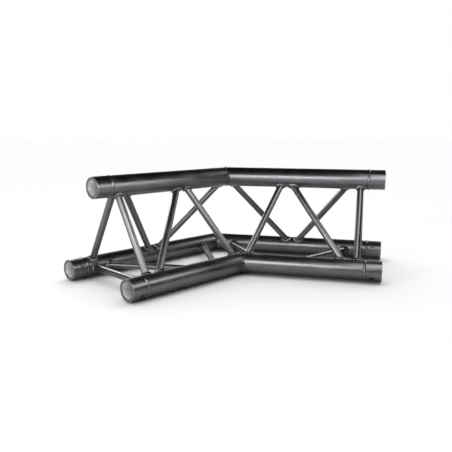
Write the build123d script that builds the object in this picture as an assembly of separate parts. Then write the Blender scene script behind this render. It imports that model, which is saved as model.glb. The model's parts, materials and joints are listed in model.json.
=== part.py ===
# A two-way corner of a triangular lighting truss: two short legs of welded aluminium tube that meet
# at a flat mitre. Each leg has two bottom chords and one top chord, three laced panels between them,
# and a machined coupler receiver welded into the open end of every chord.
# Frame: millimetres, +Z up, X across the corner, the inside of the corner faces -Y. The origin is
# the middle of the footprint, on the surface that the weld rings of the bottom chords rest on.

from build123d import *
from math import cos, radians, sin, sqrt, tan
import os

# Driving dimensions
CORNER_ANGLE = 120.0          # degrees between the two legs, seen from above
LEG_LENGTH = 500.0            # along the outer edge, from the outer corner to the end faces
CHORD_SPACING = 240.0         # between chord centre lines, the same for all three chords
CHORD_OD = 50.0
CHORD_WALL = 2.0
BRACE_OD = 16.0
BRACE_WALL = 2.0
RECEIVER_LENGTH = 40.0        # the part of a receiver that is seen beyond the chord tube
SPIGOT_LENGTH = 25.0          # the part that is pushed into the chord tube
SPIGOT_CLEARANCE = 0.1        # radial, between spigot and chord tube
SOCKET_MOUTH_D = 36.0
SOCKET_ROOT_D = 30.0
SOCKET_DEPTH = 38.0
THROUGH_BORE_D = 26.0
MOUTH_CHAMFER = 1.0
PIN_HOLE_D = 10.5
PIN_HOLE_SETBACK = 24.0       # from the end face to the centre of the cross-pin holes
BEAD_HEIGHT = 1.5             # how proud a butt weld stands
BEAD_WIDTH = 6.0
FILLET_WELD_LEG = 2.6         # the weld round the end of each brace

# Where the braces' centre lines meet the chord centre lines
POST_SETBACK = 60.0           # posts, from the end faces
LACING_SETBACK = 79.0         # outer braces of the front and back panels, from the end faces
BOTTOM_SETBACK = 85.0         # outer brace of the bottom panel, from the end faces
FRONT_APEX_GAP = 8.0          # between the two braces that meet under the top chord
BOTTOM_APEX_GAP = 18.0        # between the two braces that meet at the front chord
FRONT_FOOT_SETBACK = 7.2      # inner braces, from the mitre of the chord that they end on
BACK_HEAD_SETBACK = 2.0
BOTTOM_FOOT_SETBACK = 49.3

# Derived sizes
CHORD_R = CHORD_OD / 2
CHORD_BORE_R = CHORD_R - CHORD_WALL
BRACE_R = BRACE_OD / 2
PANEL_HEIGHT = CHORD_SPACING * sqrt(3) / 2
LEG_TURN = radians((180.0 - CORNER_ANGLE) / 2)
OUTER_FACE = CHORD_SPACING / 2 + CHORD_R
END_S = LEG_LENGTH - OUTER_FACE * tan(LEG_TURN)
TUBE_END_S = END_S - RECEIVER_LENGTH
POST_S = END_S - POST_SETBACK
LACING_S = END_S - LACING_SETBACK
APEX_S = LACING_S / 2
MITRE_S = CHORD_SPACING / 2 * tan(LEG_TURN)
AXIS_Z = CHORD_R + BEAD_HEIGHT
BEAD_R = ((BEAD_WIDTH / 2) ** 2 + BEAD_HEIGHT ** 2) / (2 * BEAD_HEIGHT)
BEAD_CENTRE_R = CHORD_R + BEAD_HEIGHT - BEAD_R
FRONT_Y = -OUTER_FACE * cos(LEG_TURN) - (END_S - MOUTH_CHAMFER) * sin(LEG_TURN)
BACK_Y = (CHORD_SPACING / 2 + BEAD_CENTRE_R) / cos(LEG_TURN) + BEAD_R
SHIFT_Y = -(FRONT_Y + BACK_Y) / 2
REACH = 4 * LEG_LENGTH        # longer than anything in the part

# Each chord's offset across the leg (towards the outside of the corner) and height above the
# bottom chords, and the angle of its cross pin, which points at the middle of the triangle.
CHORDS = {
    "front": (-CHORD_SPACING / 2, 0.0, 30.0),
    "back": (CHORD_SPACING / 2, 0.0, 150.0),
    "top": (0.0, PANEL_HEIGHT, 270.0),
}
SIDES = {"right": 1, "left": -1}

# Braces of one leg: panel, piece, then (chord, place) of both ends. A place is the distance along
# the leg from the middle of the corner.
BRACES = [
    ("front_panel", "post", ("front", POST_S), ("top", POST_S)),
    ("front_panel", "outer_brace", ("front", LACING_S), ("top", APEX_S)),
    ("front_panel", "inner_brace", ("front", MITRE_S + FRONT_FOOT_SETBACK), ("top", APEX_S - FRONT_APEX_GAP)),
    ("back_panel", "post", ("back", POST_S), ("top", POST_S)),
    ("back_panel", "outer_brace", ("back", APEX_S), ("top", LACING_S)),
    ("back_panel", "inner_brace", ("back", APEX_S), ("top", BACK_HEAD_SETBACK)),
    ("bottom_panel", "post", ("front", POST_S), ("back", POST_S)),
    ("bottom_panel", "outer_brace", ("front", APEX_S), ("back", END_S - BOTTOM_SETBACK)),
    ("bottom_panel", "inner_brace", ("front", APEX_S - BOTTOM_APEX_GAP),
     ("back", BOTTOM_FOOT_SETBACK - MITRE_S)),
]


def along(side):
    """Unit vector from the corner along a leg."""
    return Vector(side * cos(LEG_TURN), -sin(LEG_TURN), 0)


def across(side):
    """Unit vector across a leg, towards the outside of the corner."""
    return Vector(side * sin(LEG_TURN), cos(LEG_TURN), 0)


def on_chord(side, chord, place):
    """Point on a chord's centre line, at a distance from the middle of the corner."""
    offset, height, _ = CHORDS[chord]
    return across(side) * offset + along(side) * place + Vector(0, SHIFT_Y, AXIS_Z + height)


def rod(start, end, radius):
    """Solid round bar between two points."""
    run = end - start
    bar = Cylinder(radius, run.length, align=(Align.CENTER, Align.CENTER, Align.MIN))
    return Plane(origin=start, z_dir=run) * bar


def half_space(side):
    """Everything on one side of the mitre plane."""
    return Pos(side * REACH / 2, 0, 0) * Box(REACH, REACH, REACH)


def chord_bar(side, chord, radius):
    """Solid bar on a chord's centre line, longer than the leg at both ends."""
    return rod(on_chord(side, chord, -LEG_LENGTH), on_chord(side, chord, 2 * LEG_LENGTH), radius)


def chord_tube(side, chord):
    """Chord tube, cut to the mitre at the corner and square under the receiver's shoulder."""
    start = on_chord(side, chord, -LEG_LENGTH)
    end = on_chord(side, chord, TUBE_END_S)
    tube = rod(start, end, CHORD_R) - rod(start, end, CHORD_BORE_R)
    return tube & half_space(side)


def end_plane(side, chord):
    """Plane at a chord's end face, with Z along the leg and X towards the outside of the corner."""
    return Plane(origin=on_chord(side, chord, END_S), x_dir=across(side), z_dir=along(side))


def pin_direction(side, chord):
    """Direction of a cross pin, from the outside of the triangle to its middle."""
    angle = radians(CHORDS[chord][2])
    return across(side) * cos(angle) + Vector(0, 0, 1) * sin(angle)


def receiver(side, chord):
    """Turned coupler receiver: collar, spigot, tapered socket, through bore and cross-pin holes."""
    depth = RECEIVER_LENGTH + SPIGOT_LENGTH
    spigot_r = CHORD_BORE_R - SPIGOT_CLEARANCE
    profile = Polyline(
        (SOCKET_MOUTH_D / 2, -MOUTH_CHAMFER),
        (SOCKET_MOUTH_D / 2 + MOUTH_CHAMFER, 0),
        (CHORD_R - MOUTH_CHAMFER, 0),
        (CHORD_R, -MOUTH_CHAMFER),
        (CHORD_R, -RECEIVER_LENGTH),
        (spigot_r, -RECEIVER_LENGTH),
        (spigot_r, MOUTH_CHAMFER - depth),
        (spigot_r - MOUTH_CHAMFER, -depth),
        (THROUGH_BORE_D / 2, -depth),
        (THROUGH_BORE_D / 2, -SOCKET_DEPTH),
        (SOCKET_ROOT_D / 2, -SOCKET_DEPTH),
        (SOCKET_MOUTH_D / 2, -MOUTH_CHAMFER),
    )
    body = end_plane(side, chord) * revolve(Plane.XZ * make_face(profile), Axis.Z)
    centre = on_chord(side, chord, END_S - PIN_HOLE_SETBACK)
    pin = pin_direction(side, chord) * CHORD_OD
    return body - rod(centre - pin, centre + pin, PIN_HOLE_D / 2)


def receiver_weld(side, chord):
    """Butt weld round the seam between a chord tube and its receiver."""
    crown = ThreePointArc((CHORD_R, -BEAD_WIDTH / 2), (CHORD_R + BEAD_HEIGHT, 0), (CHORD_R, BEAD_WIDTH / 2))
    base = Line((CHORD_R, BEAD_WIDTH / 2), (CHORD_R, -BEAD_WIDTH / 2))
    ring = revolve(Plane.XZ * make_face(Curve() + [crown, base]), Axis.Z)
    return end_plane(side, chord) * Pos(0, 0, -RECEIVER_LENGTH) * ring


def mitre_weld(chord):
    """Butt weld round the mitre seam of one chord, an ellipse in the plane X = 0."""
    corner = CHORDS[chord][0] / cos(LEG_TURN) + SHIFT_Y
    centre = Vector(0, corner, AXIS_Z + CHORDS[chord][1])
    seam_plane = Plane(origin=centre, x_dir=(0, 1, 0), z_dir=(1, 0, 0))
    seam = seam_plane * Ellipse(BEAD_CENTRE_R / cos(LEG_TURN), BEAD_CENTRE_R).edge()
    bead = sweep(Plane(origin=seam @ 0, z_dir=seam % 0) * Circle(BEAD_R), path=seam)
    for side in SIDES.values():
        bead = bead - (chord_bar(side, chord, CHORD_R) & half_space(side))
    return bead


def brace(side, foot, head):
    """Brace tube with both ends coped to the chords that it is welded to."""
    start = on_chord(side, *foot)
    end = on_chord(side, *head)
    tube = rod(start, end, BRACE_R) - rod(start, end, BRACE_R - BRACE_WALL)
    for chord, _ in (foot, head):
        tube = tube - chord_bar(side, chord, CHORD_R)
    return max(tube.solids(), key=lambda solid: solid.volume)


def brace_welds(side, foot, head):
    """Fillet welds round both ends of a brace, as one group."""
    welds = []
    for (chord, place), (far_chord, far_place) in ((foot, head), (head, foot)):
        start = on_chord(side, chord, place)
        middle = (start + on_chord(side, far_chord, far_place)) / 2
        collar = rod(start, middle, BRACE_R + FILLET_WELD_LEG)
        collar = collar & chord_bar(side, chord, CHORD_R + FILLET_WELD_LEG)
        collar = collar - rod(start, middle, BRACE_R) - chord_bar(side, chord, CHORD_R)
        welds.append(max(collar.solids(), key=lambda solid: solid.volume))
    return Compound(children=welds)


os.makedirs("parts", exist_ok=True)

for side_name, side_sign in SIDES.items():
    for chord_name in CHORDS:
        name = f"{side_name}_{chord_name}"
        export_step(chord_tube(side_sign, chord_name), f"parts/{name}_chord.step")
        export_step(receiver(side_sign, chord_name), f"parts/{name}_receiver.step")
        export_step(receiver_weld(side_sign, chord_name), f"parts/{name}_receiver_weld.step")
    for panel, piece, foot_end, head_end in BRACES:
        name = f"{side_name}_{panel}_{piece}"
        export_step(brace(side_sign, foot_end, head_end), f"parts/{name}.step")
        export_step(brace_welds(side_sign, foot_end, head_end), f"parts/{name}_welds.step")

for chord_name in CHORDS:
    export_step(mitre_weld(chord_name), f"parts/{chord_name}_mitre_weld.step")
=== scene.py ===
import json
import math

import bpy
from mathutils import Matrix, Vector


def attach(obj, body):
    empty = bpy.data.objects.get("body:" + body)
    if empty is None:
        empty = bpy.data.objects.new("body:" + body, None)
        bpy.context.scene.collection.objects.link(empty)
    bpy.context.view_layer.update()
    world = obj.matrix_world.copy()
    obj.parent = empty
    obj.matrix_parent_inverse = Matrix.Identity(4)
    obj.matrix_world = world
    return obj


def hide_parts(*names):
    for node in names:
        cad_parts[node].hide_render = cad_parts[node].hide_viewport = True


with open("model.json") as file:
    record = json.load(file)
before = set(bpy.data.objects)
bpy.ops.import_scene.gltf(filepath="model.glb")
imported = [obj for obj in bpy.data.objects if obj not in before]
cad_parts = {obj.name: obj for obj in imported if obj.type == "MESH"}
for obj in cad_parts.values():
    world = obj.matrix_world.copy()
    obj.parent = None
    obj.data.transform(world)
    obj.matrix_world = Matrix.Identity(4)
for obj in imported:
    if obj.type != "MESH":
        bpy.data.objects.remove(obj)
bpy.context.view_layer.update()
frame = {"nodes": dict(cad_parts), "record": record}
nodes = frame["nodes"]

# Chord tubes. Extruded aluminium tube, mitred where the two legs meet and cut square under the
# receivers, under a thin satin coat of gunmetal black that still shows the faint draw lines.
LEGS = {"right": 1, "left": -1}
CHORDS = ("front", "back", "top")
LEG_TURN = math.radians(30)
COAT_COLOUR = (0.134, 0.137, 0.142, 1)
COAT_METALLIC = 1.0
COAT_ROUGHNESS = 0.34
CLOUD_SCALE = 22.0
CLOUD_SPAN = (0.3, 0.7)
LINE_STRETCH = (14, 900, 900)
PEEL_SCALE = 1300.0
RUB_STRETCH = (30, 160, 160)
RUB_SPAN = (0.60, 0.74)
RUBBED_COLOUR = (0.16, 0.165, 0.17, 1)
RUB_SHARE = 0.25
TUBE_LINES = 0.6
COAT_BUMP = 0.25
BUMP_DEPTH = 0.0004

# Sockets of Blender's Mix node that carry its two colours and its mixed colour.
MIX_FIRST = 6
MIX_SECOND = 7
MIX_RESULT = 2


def new_group(name, inputs, outputs):
    """Empty shader node group with the named sockets; returns the group and its two end nodes."""
    group = bpy.data.node_groups.new(name, "ShaderNodeTree")
    for socket, kind, value in inputs:
        made = group.interface.new_socket(socket, in_out="INPUT", socket_type=kind)
        if value is not None:
            made.default_value = value
    for socket, kind in outputs:
        group.interface.new_socket(socket, in_out="OUTPUT", socket_type=kind)
    return group, group.nodes.new("NodeGroupInput"), group.nodes.new("NodeGroupOutput")


def math_node(tree, operation, first, second):
    """Math node on two values, each a socket or a number; returns its output."""
    node = tree.nodes.new("ShaderNodeMath")
    node.operation = operation
    for socket, value in zip(node.inputs, (first, second)):
        if isinstance(value, (int, float)):
            socket.default_value = value
        else:
            tree.links.new(value, socket)
    return node.outputs[0]


def noise_node(tree, vector, scale, detail, stretch=(1, 1, 1)):
    """Noise in metres along the given vector, longer along the axes with a small stretch."""
    place = tree.nodes.new("ShaderNodeMapping")
    place.inputs["Scale"].default_value = stretch
    noise = tree.nodes.new("ShaderNodeTexNoise")
    noise.inputs["Scale"].default_value = scale
    noise.inputs["Detail"].default_value = detail
    tree.links.new(vector, place.inputs["Vector"])
    tree.links.new(place.outputs[0], noise.inputs["Vector"])
    return noise.outputs["Fac"]


def span_node(tree, value, low, high, new_low=0.0, new_high=1.0):
    """Map Range node, clamped; returns its output."""
    node = tree.nodes.new("ShaderNodeMapRange")
    ends = ("From Min", "From Max", "To Min", "To Max")
    for name, end in zip(ends, (low, high, new_low, new_high)):
        node.inputs[name].default_value = end
    tree.links.new(value, node.inputs["Value"])
    return node.outputs[0]


def mix_colour(tree, factor, first, second):
    """Colour mix; each colour is a socket or four numbers."""
    node = tree.nodes.new("ShaderNodeMix")
    node.data_type = "RGBA"
    tree.links.new(factor, node.inputs["Factor"])
    for socket, colour in zip((node.inputs[MIX_FIRST], node.inputs[MIX_SECOND]), (first, second)):
        if isinstance(colour, tuple):
            socket.default_value = colour
        else:
            tree.links.new(colour, socket)
    return node.outputs[MIX_RESULT]


def make_coat_group():
    """Satin coat on drawn tube: cloudy tone, draw lines along X, fine peel and a few dull rubs."""
    group, source, sink = new_group(
        "satin_coat",
        [("Vector", "NodeSocketVector", None), ("Coat", "NodeSocketColor", COAT_COLOUR),
         ("Gloss", "NodeSocketFloat", COAT_ROUGHNESS), ("Lines", "NodeSocketFloat", 1.0)],
        [("Color", "NodeSocketColor"), ("Roughness", "NodeSocketFloat"), ("Height", "NodeSocketFloat")],
    )
    place = source.outputs["Vector"]
    cloud = noise_node(group, place, CLOUD_SCALE, 4.0)
    lines = noise_node(group, place, 1.0, 3.0, LINE_STRETCH)
    peel = noise_node(group, place, PEEL_SCALE, 2.0)
    rubs = noise_node(group, place, 1.0, 6.0, RUB_STRETCH)
    rub_mask = span_node(group, rubs, *RUB_SPAN)
    level = math_node(group, "SUBTRACT", lines, 0.5)
    line_part = math_node(group, "MULTIPLY", level, source.outputs["Lines"])
    tone = math_node(group, "ADD", span_node(group, cloud, *CLOUD_SPAN, 0.88, 1.12), line_part)
    scale = group.nodes.new("ShaderNodeVectorMath")
    scale.operation = "SCALE"
    group.links.new(source.outputs["Coat"], scale.inputs[0])
    group.links.new(tone, scale.inputs["Scale"])
    rub_share = math_node(group, "MULTIPLY", rub_mask, RUB_SHARE)
    rubbed = mix_colour(group, rub_share, scale.outputs[0], RUBBED_COLOUR)
    group.links.new(rubbed, sink.inputs["Color"])
    cloudy = span_node(group, cloud, *CLOUD_SPAN, -0.04, 0.05)
    rough = math_node(group, "ADD", source.outputs["Gloss"], cloudy)
    rough = math_node(group, "ADD", rough, math_node(group, "MULTIPLY", line_part, 0.35))
    rough = math_node(group, "ADD", rough, math_node(group, "MULTIPLY", rub_mask, 0.10))
    group.links.new(rough, sink.inputs["Roughness"])
    height = math_node(group, "ADD", math_node(group, "MULTIPLY", peel, 0.35), line_part)
    group.links.new(height, sink.inputs["Height"])
    return group


coat_group = make_coat_group()


def start_material(name, metallic):
    """New node material with a Principled shader; returns the material, its tree and the shader."""
    material = bpy.data.materials.new(name)
    material.use_nodes = True
    tree = material.node_tree
    shader = tree.nodes["Principled BSDF"]
    shader.inputs["Metallic"].default_value = metallic
    return material, tree, shader


def object_place(tree, turn):
    """Place on the object in metres, turned about Z so that X runs along a leg."""
    coords = tree.nodes.new("ShaderNodeTexCoord")
    turned = tree.nodes.new("ShaderNodeVectorRotate")
    turned.rotation_type = "Z_AXIS"
    turned.inputs["Angle"].default_value = turn
    tree.links.new(coords.outputs["Object"], turned.inputs["Vector"])
    return turned.outputs[0]


def add_coat(tree, place, lines, gloss=COAT_ROUGHNESS):
    """The satin coat group, placed in a material."""
    coat = tree.nodes.new("ShaderNodeGroup")
    coat.node_tree = coat_group
    coat.inputs["Gloss"].default_value = gloss
    coat.inputs["Lines"].default_value = lines
    tree.links.new(place, coat.inputs["Vector"])
    return coat


def add_bump(tree, shader, height, strength):
    """Bump node between a height and a shader's normal."""
    bump = tree.nodes.new("ShaderNodeBump")
    bump.inputs["Strength"].default_value = strength
    bump.inputs["Distance"].default_value = BUMP_DEPTH
    tree.links.new(height, bump.inputs["Height"])
    tree.links.new(bump.outputs[0], shader.inputs["Normal"])


def make_coated(name, turn, lines, gloss=COAT_ROUGHNESS, bump=COAT_BUMP):
    """Material of a coated tube or weld."""
    material, tree, shader = start_material(name, COAT_METALLIC)
    coat = add_coat(tree, object_place(tree, turn), lines, gloss)
    tree.links.new(coat.outputs["Color"], shader.inputs["Base Color"])
    tree.links.new(coat.outputs["Roughness"], shader.inputs["Roughness"])
    add_bump(tree, shader, coat.outputs["Height"], bump)
    return material


for leg, sign in LEGS.items():
    chord_material = make_coated(f"{leg}_chord_coat", sign * LEG_TURN, TUBE_LINES)
    for chord in CHORDS:
        nodes[f"{leg}_{chord}_chord"].material_slots[0].material = chord_material

# Coupler receivers. Each is turned from solid bar, coated outside, with a bare tapered socket and
# a rubbed ring face; a cross hole takes the tapered pin. The spigot is pushed into the chord tube.
# The bare socket's colour is painted darker towards its bottom: painted shade standing in for the shade
# deep in the hole.
SOCKET_EDGE_R = 0.0182
EDGE_BLUR = 0.0004
TURNING_SCALE = 2600.0
NICK_SCALE = 420.0
# Painted shade in the socket: over this depth the bare colour darkens towards the shade colour below,
# keeping this share of the bare colour at the bottom.
SOCKET_DEPTH = 0.038
PAINTED_SHADE_BOTTOM_MIX = 0.30
RIM_R = 0.0240
BARE_COLOUR = (0.95, 0.95, 0.95, 1)
# Colour of the painted shade deep in the socket.
BORE_PAINTED_SHADE = (0.10, 0.10, 0.10, 1)
BARE_METALLIC = 0.35
BARE_ROUGHNESS = 0.44
FACE_COLOUR = (0.105, 0.105, 0.107, 1)
FACE_METALLIC = 0.5
WORN_SHARE = 0.2
mounts = {mount["name"]: mount for mount in frame["record"]["mounts"]}


def chord_axis(leg, chord):
    """End point of a chord's centre line and its direction out of the end."""
    socket = mounts[f"{leg}_{chord}_socket"]
    return Vector(socket["pos_m"]), Vector(socket["axis"])


def make_socket_group():
    """Distance from a socket's axis and depth below its mouth, as masks for bare metal and for painted
    shade deeper in the socket.
    """
    group, source, sink = new_group(
        "turned_socket",
        [("Vector", "NodeSocketVector", None), ("Centre", "NodeSocketVector", (0, 0, 0)),
         ("Axis", "NodeSocketVector", (1, 0, 0))],
        [("Bare", "NodeSocketFloat"), ("Face", "NodeSocketFloat"), ("Turning", "NodeSocketFloat"),
         ("Worn Edge", "NodeSocketFloat"), ("Painted Depth Shade", "NodeSocketFloat")],
    )
    offset = group.nodes.new("ShaderNodeVectorMath")
    offset.operation = "SUBTRACT"
    group.links.new(source.outputs["Vector"], offset.inputs[0])
    group.links.new(source.outputs["Centre"], offset.inputs[1])
    along = group.nodes.new("ShaderNodeVectorMath")
    along.operation = "DOT_PRODUCT"
    group.links.new(offset.outputs[0], along.inputs[0])
    group.links.new(source.outputs["Axis"], along.inputs[1])
    side = group.nodes.new("ShaderNodeVectorMath")
    side.operation = "CROSS_PRODUCT"
    group.links.new(offset.outputs[0], side.inputs[0])
    group.links.new(source.outputs["Axis"], side.inputs[1])
    away = group.nodes.new("ShaderNodeVectorMath")
    away.operation = "LENGTH"
    group.links.new(side.outputs[0], away.inputs[0])
    radius, depth = away.outputs["Value"], along.outputs["Value"]
    inside = span_node(group, radius, SOCKET_EDGE_R, SOCKET_EDGE_R - EDGE_BLUR)
    face = math_node(group, "MULTIPLY", span_node(group, depth, -0.0009, -0.0004),
                     math_node(group, "SUBTRACT", 1.0, inside))
    group.links.new(inside, sink.inputs["Bare"])
    # Painted shade: the bore gets darker deeper in the socket, standing in for the shade inside the hole.
    tone = span_node(group, depth, -SOCKET_DEPTH, 0.0, PAINTED_SHADE_BOTTOM_MIX, 1.0)
    group.links.new(tone, sink.inputs["Painted Depth Shade"])
    group.links.new(face, sink.inputs["Face"])
    rings = group.nodes.new("ShaderNodeTexNoise")
    rings.noise_dimensions = "1D"
    rings.inputs["Scale"].default_value = TURNING_SCALE
    group.links.new(math_node(group, "ADD", radius, depth), rings.inputs["W"])
    group.links.new(rings.outputs["Fac"], sink.inputs["Turning"])
    nicks = noise_node(group, source.outputs["Vector"], NICK_SCALE, 5.0)
    edge = math_node(group, "MULTIPLY", span_node(group, radius, RIM_R - 0.0002, RIM_R + 0.0004),
                     span_node(group, depth, -0.0040, -0.0006))
    worn = math_node(group, "MULTIPLY", edge, span_node(group, nicks, 0.42, 0.58))
    group.links.new(worn, sink.inputs["Worn Edge"])
    return group


socket_group = make_socket_group()


def make_receiver_material(leg, chord):
    """Coated outside, bare turned metal in the socket with painted shade darker towards its bottom, rubbed
    coat on the ring face and rim.
    """
    end, axis = chord_axis(leg, chord)
    material, tree, shader = start_material(f"{leg}_{chord}_receiver_metal", COAT_METALLIC)
    coat = add_coat(tree, object_place(tree, LEGS[leg] * LEG_TURN), TUBE_LINES)
    coords = tree.nodes.new("ShaderNodeTexCoord")
    socket = tree.nodes.new("ShaderNodeGroup")
    socket.node_tree = socket_group
    socket.inputs["Centre"].default_value = end
    socket.inputs["Axis"].default_value = axis
    tree.links.new(coords.outputs["Object"], socket.inputs["Vector"])
    faced = mix_colour(tree, socket.outputs["Face"], coat.outputs["Color"], FACE_COLOUR)
    # Bare bore colour with painted shade, darker deeper in the socket.
    bore_with_painted_shade = mix_colour(tree, socket.outputs["Painted Depth Shade"], BORE_PAINTED_SHADE, BARE_COLOUR)
    bared = mix_colour(tree, socket.outputs["Bare"], faced, bore_with_painted_shade)
    wear = math_node(tree, "MULTIPLY", socket.outputs["Worn Edge"], WORN_SHARE)
    worn = mix_colour(tree, wear, bared, BARE_COLOUR)
    tree.links.new(worn, shader.inputs["Base Color"])
    metal = span_node(tree, socket.outputs["Face"], 0.0, 1.0, COAT_METALLIC, FACE_METALLIC)
    lost = math_node(tree, "MULTIPLY", socket.outputs["Bare"], 1 - BARE_METALLIC)
    tree.links.new(math_node(tree, "SUBTRACT", metal, lost), shader.inputs["Metallic"])
    opened = math_node(tree, "MAXIMUM", socket.outputs["Bare"], socket.outputs["Face"])
    dull = math_node(tree, "MULTIPLY", opened, BARE_ROUGHNESS - COAT_ROUGHNESS)
    tree.links.new(math_node(tree, "ADD", coat.outputs["Roughness"], dull), shader.inputs["Roughness"])
    turned = math_node(tree, "MULTIPLY", socket.outputs["Turning"], opened)
    add_bump(tree, shader, math_node(tree, "ADD", coat.outputs["Height"], turned), COAT_BUMP)
    return material


for leg in LEGS:
    for chord in CHORDS:
        nodes[f"{leg}_{chord}_receiver"].material_slots[0].material = make_receiver_material(leg, chord)

# Receiver welds. One butt weld runs round each seam between chord tube and receiver: overlapping
# puddles of filler metal that stand proud of the tube, coated with the rest.
TUBE_R = 0.025
RECEIVER_LENGTH = 0.040
BEAD_HEIGHT = 0.0015
BEAD_WIDTH = 0.0062
PUDDLE_PITCH = 0.0028
PUDDLE_LAG = 0.4
PUDDLE_LOW = 0.72
STEPS_PER_PUDDLE = 6
BEAD_STEPS = 8
weld_material = make_coated("weld_coat", 0.0, lines=0.3, gloss=0.25, bump=0.15)


def puddle(turn, across, count):
    """Height factor of a rippled weld: each puddle laps over the last in a curved front."""
    phase = (turn * count + PUDDLE_LAG * across * across) % 1.0
    return PUDDLE_LOW + (1 - PUDDLE_LOW) * math.sqrt(phase)


def closed_skin(name, loops):
    """Smooth closed mesh from a ring of closed loops, all with the same number of points."""
    size = len(loops[0])
    points = [point for loop in loops for point in loop]
    faces = []
    for i in range(len(loops)):
        following = (i + 1) % len(loops)
        for j in range(size):
            beside = (j + 1) % size
            faces.append((i * size + j, i * size + beside, following * size + beside, following * size + j))
    mesh = bpy.data.meshes.new(name)
    mesh.from_pydata(points, [], faces)
    mesh.shade_smooth()
    mesh.update()
    return mesh


def place_weld(mesh, *replaced):
    """Puts a weld mesh in the scene in place of a plain weld node."""
    mesh.materials.append(weld_material)
    piece = bpy.data.objects.new(mesh.name, mesh)
    bpy.context.scene.collection.objects.link(piece)
    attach(piece, "root")
    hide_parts(*replaced)


def seam_count(length):
    """Whole number of puddles in a closed seam."""
    return round(length / PUDDLE_PITCH)


def receiver_bead(leg, chord):
    """Rippled ring round one chord, centred on the seam under the receiver's shoulder."""
    end, axis = chord_axis(leg, chord)
    centre = end - axis * RECEIVER_LENGTH
    level = Vector((-axis.y, axis.x, 0))
    count = seam_count(2 * math.pi * TUBE_R)
    steps = count * STEPS_PER_PUDDLE
    loops = []
    for i in range(steps):
        turn = i / steps
        out = level * math.cos(2 * math.pi * turn) + Vector((0, 0, 1)) * math.sin(2 * math.pi * turn)
        loop = []
        for j in range(BEAD_STEPS + 1):
            across = 2 * j / BEAD_STEPS - 1
            height = BEAD_HEIGHT * (1 - across * across) * puddle(turn, across, count)
            loop.append(centre + out * (TUBE_R + height) + axis * (across * BEAD_WIDTH / 2))
        loops.append(loop)
    return closed_skin(f"{leg}_{chord}_receiver_bead", loops)


for leg in LEGS:
    for chord in CHORDS:
        place_weld(receiver_bead(leg, chord), f"{leg}_{chord}_receiver_weld")

# Mitre welds. The two tubes of each chord meet in a flat ellipse in the middle of the corner, and
# the same kind of bead runs round that seam, over the sharp outside and down the inside valley.
MITRE_TRIM = 0.34
MITRE_STRETCH = 1.07


def mitre_bead(chord):
    """Rippled bead along the mitre ellipse of one chord; its two halves lie on the two tubes."""
    end, axis = chord_axis("right", chord)
    level = Vector((-axis.y, axis.x, 0))
    count = seam_count(2 * math.pi * TUBE_R * MITRE_STRETCH)
    steps = count * STEPS_PER_PUDDLE
    loops = []
    for i in range(steps):
        turn = i / steps
        out = level * math.cos(2 * math.pi * turn) + Vector((0, 0, 1)) * math.sin(2 * math.pi * turn)
        loop = []
        for j in range(BEAD_STEPS + 1):
            across = 2 * j / BEAD_STEPS - 1
            height = BEAD_HEIGHT * (1 - across * across) * puddle(turn, across, count)
            height *= 1 - MITRE_TRIM * abs(math.cos(2 * math.pi * turn))
            point = end + out * (TUBE_R + height)
            point -= axis * (point.x / axis.x - abs(across) * BEAD_WIDTH / 2)
            if across < 0:
                point.x = -point.x
            loop.append(point)
        loops.append(loop)
    return closed_skin(f"{chord}_mitre_bead", loops)


for chord in CHORDS:
    place_weld(mitre_bead(chord), f"{chord}_mitre_weld")

# Braces. Thin aluminium tube, coped to the chords at both ends: a square post near each end of a
# panel and two slanted braces, coated with the rest of the section.
brace_material = make_coated("brace_coat", 0.0, lines=0.25, gloss=0.35)
PANELS = {"front_panel": ("front", "top"), "back_panel": ("back", "top"), "bottom_panel": ("front", "back")}
for leg in LEGS:
    for panel in PANELS:
        for piece_name in ("post", "outer_brace", "inner_brace"):
            nodes[f"{leg}_{panel}_{piece_name}"].material_slots[0].material = brace_material

# Brace welds. A fillet weld runs round each brace where it meets a chord. It climbs the brace on
# one side and spreads over the chord on the other, in small overlapping puddles.
BRACE_R = 0.008
FILLET_LEG = 0.0046
FILLET_SWELL = 0.5
FILLET_SINK = 0.0002
FILLET_STRETCH = 1.15
POST_SETBACK = 0.060
LACING_SETBACK = 0.079
BOTTOM_SETBACK = 0.085
FRONT_APEX_GAP = 0.008
BOTTOM_APEX_GAP = 0.018
FRONT_FOOT_SETBACK = 0.0072
BACK_HEAD_SETBACK = 0.002
BOTTOM_FOOT_SETBACK = 0.0493
FILLET_STEPS = 6
top_end, top_axis = chord_axis("right", "top")
front_end, front_axis = chord_axis("right", "front")
back_end, back_axis = chord_axis("right", "back")
TOP_LENGTH = top_end.x / top_axis.x
FRONT_LENGTH = front_end.x / front_axis.x
BACK_LENGTH = back_end.x / back_axis.x
APEX_SETBACK = (TOP_LENGTH + LACING_SETBACK) / 2

# Setbacks of each brace's two ends from the end faces, in the order of PANELS' two chords.
BRACE_ENDS = {
    ("front_panel", "post"): (POST_SETBACK, POST_SETBACK),
    ("front_panel", "outer_brace"): (LACING_SETBACK, APEX_SETBACK),
    ("front_panel", "inner_brace"): (FRONT_LENGTH - FRONT_FOOT_SETBACK, APEX_SETBACK + FRONT_APEX_GAP),
    ("back_panel", "post"): (POST_SETBACK, POST_SETBACK),
    ("back_panel", "outer_brace"): (APEX_SETBACK, LACING_SETBACK),
    ("back_panel", "inner_brace"): (APEX_SETBACK, TOP_LENGTH - BACK_HEAD_SETBACK),
    ("bottom_panel", "post"): (POST_SETBACK, POST_SETBACK),
    ("bottom_panel", "outer_brace"): (APEX_SETBACK, BOTTOM_SETBACK),
    ("bottom_panel", "inner_brace"): (APEX_SETBACK + BOTTOM_APEX_GAP, BACK_LENGTH - BOTTOM_FOOT_SETBACK),
}


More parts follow.
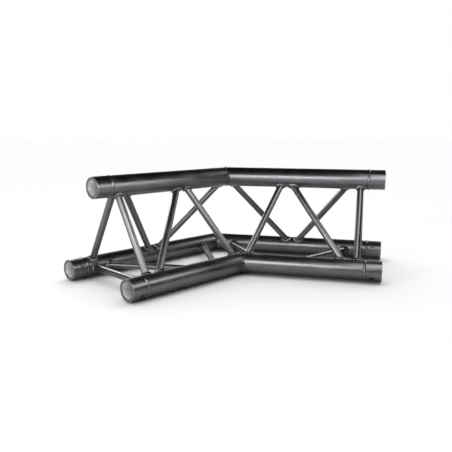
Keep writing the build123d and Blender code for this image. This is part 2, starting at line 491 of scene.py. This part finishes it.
def reach_surface(start, run, out, brace_r, chord_r, chord_dir):
    """Point on a line beside the brace's axis, at a distance from the chord's centre line."""
    base = out * brace_r
    flat_base = base - chord_dir * base.dot(chord_dir)
    flat_run = run - chord_dir * run.dot(chord_dir)
    a = flat_run.length_squared
    b = flat_base.dot(flat_run)
    c = flat_base.length_squared - chord_r * chord_r
    return start + base + run * ((-b + math.sqrt(b * b - a * c)) / a)


def fillet_bead(name, start, far, chord_dir):
    """Rippled fillet round a brace, between the chord's surface and the brace's surface."""
    run = (far - start).normalized()
    side = run.cross(chord_dir).normalized()
    front = side.cross(run)
    count = seam_count(2 * math.pi * (BRACE_R + FILLET_LEG / 2) * FILLET_STRETCH)
    steps = count * STEPS_PER_PUDDLE
    loops = []
    for i in range(steps):
        turn = i / steps
        out = front * math.cos(2 * math.pi * turn) + side * math.sin(2 * math.pi * turn)
        loop = [reach_surface(start, run, out, BRACE_R - FILLET_SINK, TUBE_R - FILLET_SINK, chord_dir)]
        for j in range(FILLET_STEPS + 1):
            share = j / FILLET_STEPS
            swell = puddle(turn, 2 * share - 1, count) * (1 + FILLET_SWELL * math.sin(math.pi * share))
            brace_r = BRACE_R + FILLET_LEG * (1 - share) * swell
            chord_r = TUBE_R + FILLET_LEG * share * swell
            loop.append(reach_surface(start, run, out, brace_r, chord_r, chord_dir))
        loops.append(loop)
    return closed_skin(name, loops)


for leg in LEGS:
    for (panel, piece_name), setbacks in BRACE_ENDS.items():
        axes = [chord_axis(leg, chord) for chord in PANELS[panel]]
        foot, head = [end - axis * setback for (end, axis), setback in zip(axes, setbacks)]
        name = f"{leg}_{panel}_{piece_name}"
        place_weld(fillet_bead(f"{name}_foot_weld", foot, head, axes[0][1]), f"{name}_welds")
        place_weld(fillet_bead(f"{name}_head_weld", head, foot, axes[1][1]), f"{name}_welds")

# Studio. A pale floor under a soft dome that only matt surfaces see, and a low white backdrop under
# a dark ceiling that the metal mirrors. Two strips draw the bright line along each leg, two
# softboxes stand behind the corner, and one off the left ends also lights the floor.
FLOOR_SIZE = 30.0
FLOOR_TONE = 0.80
CAMERA_PLACE = (-0.3848, -1.3499, 0.3629)
CAMERA_TILT = math.radians(79.84)
CAMERA_TURN = math.radians(-15.023)
CAMERA_LENS = 43.41
BACKDROP = 1.3
BACKDROP_Y = (-0.15, 0.30)
BACKDROP_Z = (0.10, 0.45)
CEILING = 0.004
WHITE = (1, 1, 1, 1)
DOME_BASE = 0.22
DOME_TOP = 2.25
DOME_AIM = (0.148, 0.554, 0.819)
DOME_SPAN = (0.35, 0.95)

floor_mesh = bpy.data.meshes.new("floor")
half = FLOOR_SIZE / 2
floor_mesh.from_pydata([(-half, -half, 0), (half, -half, 0), (half, half, 0), (-half, half, 0)], [],
                       [(0, 1, 2, 3)])
floor = bpy.data.objects.new("floor", floor_mesh)
bpy.context.scene.collection.objects.link(floor)

floor_material, tree, shader = start_material("pale_floor", 0.0)
shader.inputs["Base Color"].default_value = (FLOOR_TONE, FLOOR_TONE, FLOOR_TONE, 1)
shader.inputs["Roughness"].default_value = 1.0
shader.inputs["Specular IOR Level"].default_value = 0.0
floor_mesh.materials.append(floor_material)

world = bpy.data.worlds.new("studio")
world.use_nodes = True
bpy.context.scene.world = world
tree = world.node_tree
tree.nodes.clear()
coords = tree.nodes.new("ShaderNodeTexCoord")
split = tree.nodes.new("ShaderNodeSeparateXYZ")
tree.links.new(coords.outputs["Generated"], split.inputs[0])
behind = span_node(tree, split.outputs["Y"], *BACKDROP_Y)
below = span_node(tree, split.outputs["Z"], *BACKDROP_Z, 1.0, 0.0)
glow = math_node(tree, "MULTIPLY", math_node(tree, "MULTIPLY", behind, below), BACKDROP)
backdrop = math_node(tree, "ADD", glow, CEILING)
facing = tree.nodes.new("ShaderNodeVectorMath")
facing.operation = "DOT_PRODUCT"
tree.links.new(coords.outputs["Generated"], facing.inputs[0])
facing.inputs[1].default_value = DOME_AIM
dome = span_node(tree, facing.outputs["Value"], *DOME_SPAN, DOME_BASE, DOME_BASE + DOME_TOP)
path = tree.nodes.new("ShaderNodeLightPath")
soft = mix_colour(tree, path.outputs["Is Diffuse Ray"], backdrop, dome)
shown = mix_colour(tree, path.outputs["Is Camera Ray"], soft, WHITE)
sky = tree.nodes.new("ShaderNodeBackground")
tree.links.new(shown, sky.inputs["Color"])
tree.links.new(sky.outputs[0], tree.nodes.new("ShaderNodeOutputWorld").inputs[0])


def add_lamp(name, start, end, height, width, aim, power, lights_matt):
    """Rectangular area lamp above two floor points, aimed at a point and hidden from the camera."""
    lamp = bpy.data.lights.new(name, "AREA")
    lamp.shape = "RECTANGLE"
    first, last = Vector((*start, height)), Vector((*end, height))
    lamp.size, lamp.size_y, lamp.energy = (last - first).length, width, power
    holder = bpy.data.objects.new(name, lamp)
    holder.location = (first + last) / 2
    back = (holder.location - Vector(aim)).normalized()
    right = (last - first).normalized()
    up = back.cross(right).normalized()
    holder.rotation_mode = "QUATERNION"
    turn = Matrix((up.cross(back), up, back)).transposed()
    holder.rotation_quaternion = turn.to_quaternion()
    holder.visible_camera = False
    holder.visible_diffuse = lights_matt
    bpy.context.scene.collection.objects.link(holder)


# Each lamp's name, the floor points under its two ends, height, width, aim, watts, and whether it
# lights matt surfaces as well as reflections.
LAMPS = [
    ("left_strip", (-0.47, -0.39), (-0.06, -0.66), 0.385, 0.19, (0.10, 0.0, 0.13), 2.8, False),
    ("right_strip", (0.05, -0.50), (0.34, -0.27), 0.385, 0.19, (-0.2, -0.05, 0.13), 1.1, False),
    ("back_left_softbox", (-0.88, 0.74), (-0.40, 0.92), 0.62, 0.34, (-0.34, -0.10, 0.03), 8.0, False),
    ("back_right_softbox", (1.02, 0.62), (1.18, 0.22), 0.78, 0.34, (0.27, 0.0, 0.03), 4.5, False),
    ("left_end_softbox", (-1.75, -0.60), (-1.45, -1.12), 0.45, 0.50, (-0.40, -0.20, 0.10), 11.0, True),
]
for lamp_values in LAMPS:
    add_lamp(*lamp_values)

camera_data = bpy.data.cameras.new("camera")
camera_data.lens = CAMERA_LENS
camera = bpy.data.objects.new("camera", camera_data)
camera.location = CAMERA_PLACE
camera.rotation_euler = (CAMERA_TILT, 0, CAMERA_TURN)
bpy.context.scene.collection.objects.link(camera)
bpy.context.scene.camera = camera
bpy.context.scene.view_settings.view_transform = "Standard"
